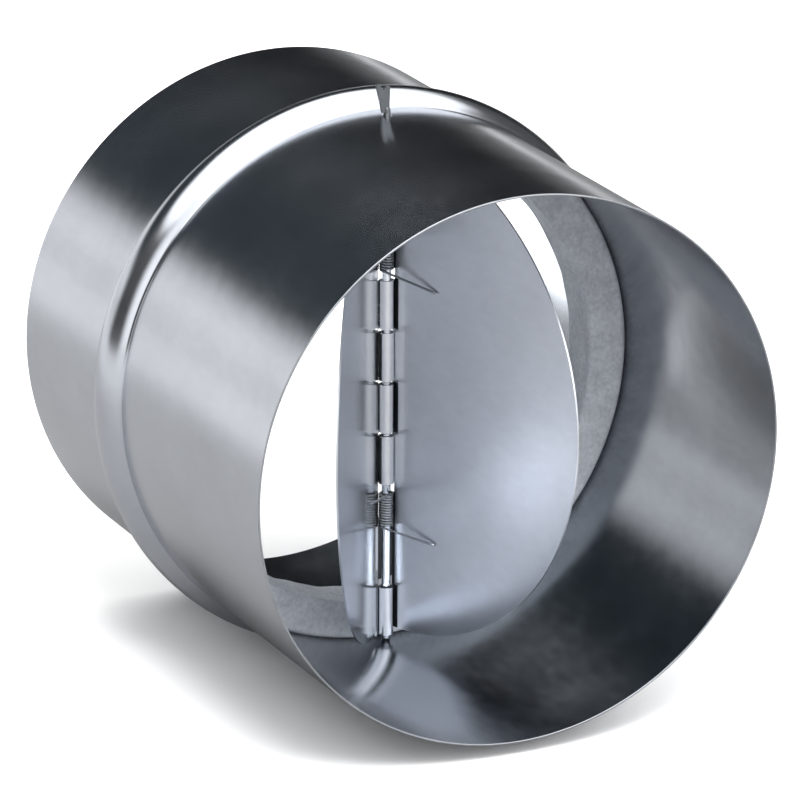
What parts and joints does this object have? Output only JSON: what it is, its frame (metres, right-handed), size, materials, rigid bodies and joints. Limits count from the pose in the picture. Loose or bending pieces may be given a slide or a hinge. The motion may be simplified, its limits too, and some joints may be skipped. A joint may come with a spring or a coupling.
{
  "type": "duct backdraft damper",
  "caption": "Round push-fit duct damper with a stop bead and spring-loaded half-round flaps on a shared upright rod, closing on a foam ring.",
  "frame": {"origin": "on the tube's axis, where the inlet spigot meets the foot of the bead", "axes": "+Y along the tube's axis out of the inlet end, +Z along the hinge rod towards its forked end, +X to the right of someone who looks into the outlet"},
  "size_m": [0.1674, 0.1666, 0.1724],
  "materials": {
    "galvanised_tube": "bright galvanised sheet, faintly streaked",
    "seal_foam": "grey open-cell foam strip",
    "rod_steel": "drawn steel rod",
    "flap_sheet": "smooth galvanised sheet",
    "spring_wire": "fine drawn spring wire"
  },
  "bodies": {
    "casing": {"casing_tube": "galvanised_tube", "seal_ring": "seal_foam", "hinge_rod": "rod_steel", "upper_spring": "spring_wire", "lower_spring": "spring_wire"},
    "right_flap": {"right_flap": "flap_sheet"},
    "left_flap": {"left_flap": "flap_sheet"}
  },
  "joints": [
    {"name": "right_flap_hinge", "type": "hinge", "parent": "casing", "child": "right_flap", "pos_m": [0, -0.0235, 0], "axis": [0, 0, -1], "range_deg": [-73.5, 11.5], "stiffness_Nm_per_rad": 0.02, "deforming": ["upper_spring", "lower_spring"]},
    {"name": "left_flap_hinge", "type": "hinge", "parent": "casing", "child": "left_flap", "pos_m": [0, -0.0235, 0], "axis": [0, 0, 1], "range_deg": [-56.7, 28.3], "stiffness_Nm_per_rad": 0.02, "deforming": ["upper_spring", "lower_spring"]}
  ]
}
